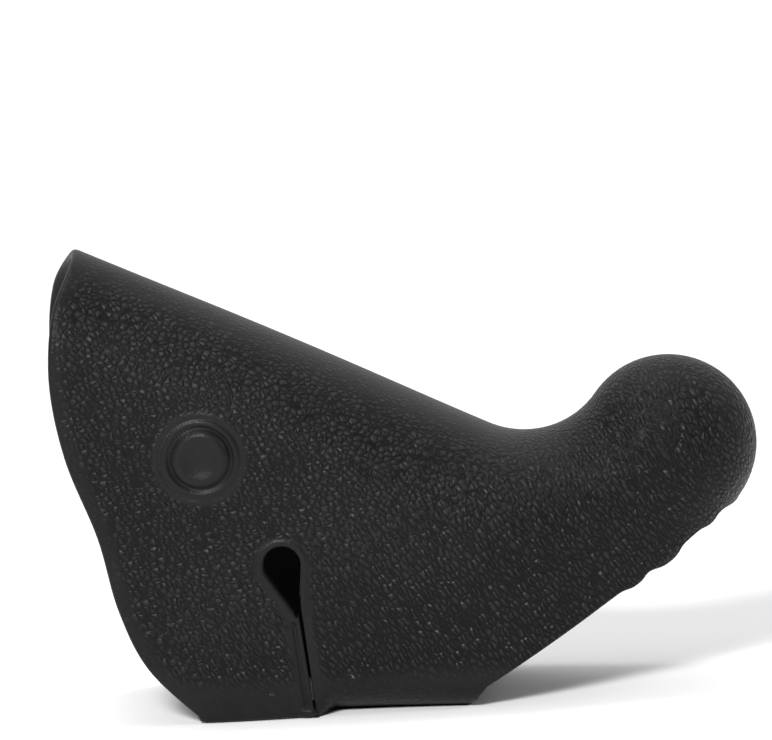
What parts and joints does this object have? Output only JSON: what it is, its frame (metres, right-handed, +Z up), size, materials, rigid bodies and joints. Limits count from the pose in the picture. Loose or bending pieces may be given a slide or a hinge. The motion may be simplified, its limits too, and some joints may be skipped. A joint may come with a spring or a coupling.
{
  "type": "brake lever hood",
  "caption": "Hollow moulded rubber hood that slides over a road brake and shift lever body, with a grip crown, a round knob and a thumb lever hole",
  "frame": {"origin": "on the flat underside, in the middle plane, 11.4 mm behind the chin", "axes": "+X runs forward to the knob, +Z up from the underside, +Y to the outer side; the thumb lever side faces -Y"},
  "size_m": [0.1078, 0.0364, 0.0719],
  "materials": {
    "rubber": "satin moulded rubber with a leather-like grain"
  },
  "bodies": {
    "root": {"hood": "rubber"}
  },
  "joints": []
}
